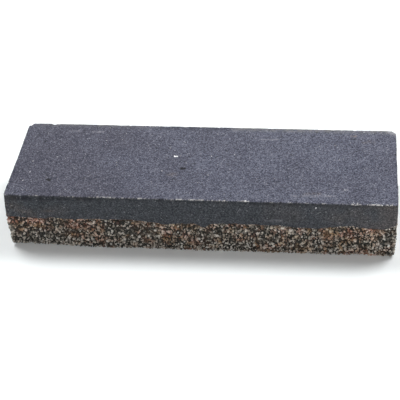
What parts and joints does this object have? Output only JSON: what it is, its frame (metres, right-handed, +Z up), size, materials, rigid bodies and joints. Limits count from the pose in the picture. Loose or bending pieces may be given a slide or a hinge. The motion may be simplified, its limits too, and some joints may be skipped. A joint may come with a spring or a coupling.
{
  "type": "sharpening stone",
  "caption": "Rectangular two-sided whetstone: a smooth dark fine-grit slab bonded on top of a coarse granular slab, used loose on a bench to sharpen carving tools.",
  "frame": {"origin": "middle of the coarse working face, which the stone rests on", "axes": "+X along the length, +Y across the width, +Z up from the coarse face to the fine face"},
  "size_m": [0.15, 0.05, 0.025],
  "materials": {
    "fine_grit": "matte",
    "bond": "matte",
    "coarse_grit": "matte"
  },
  "bodies": {
    "root": {"coarse_grit_slab": "coarse_grit", "bond_layer": "bond", "fine_grit_slab": "fine_grit"}
  },
  "joints": []
}
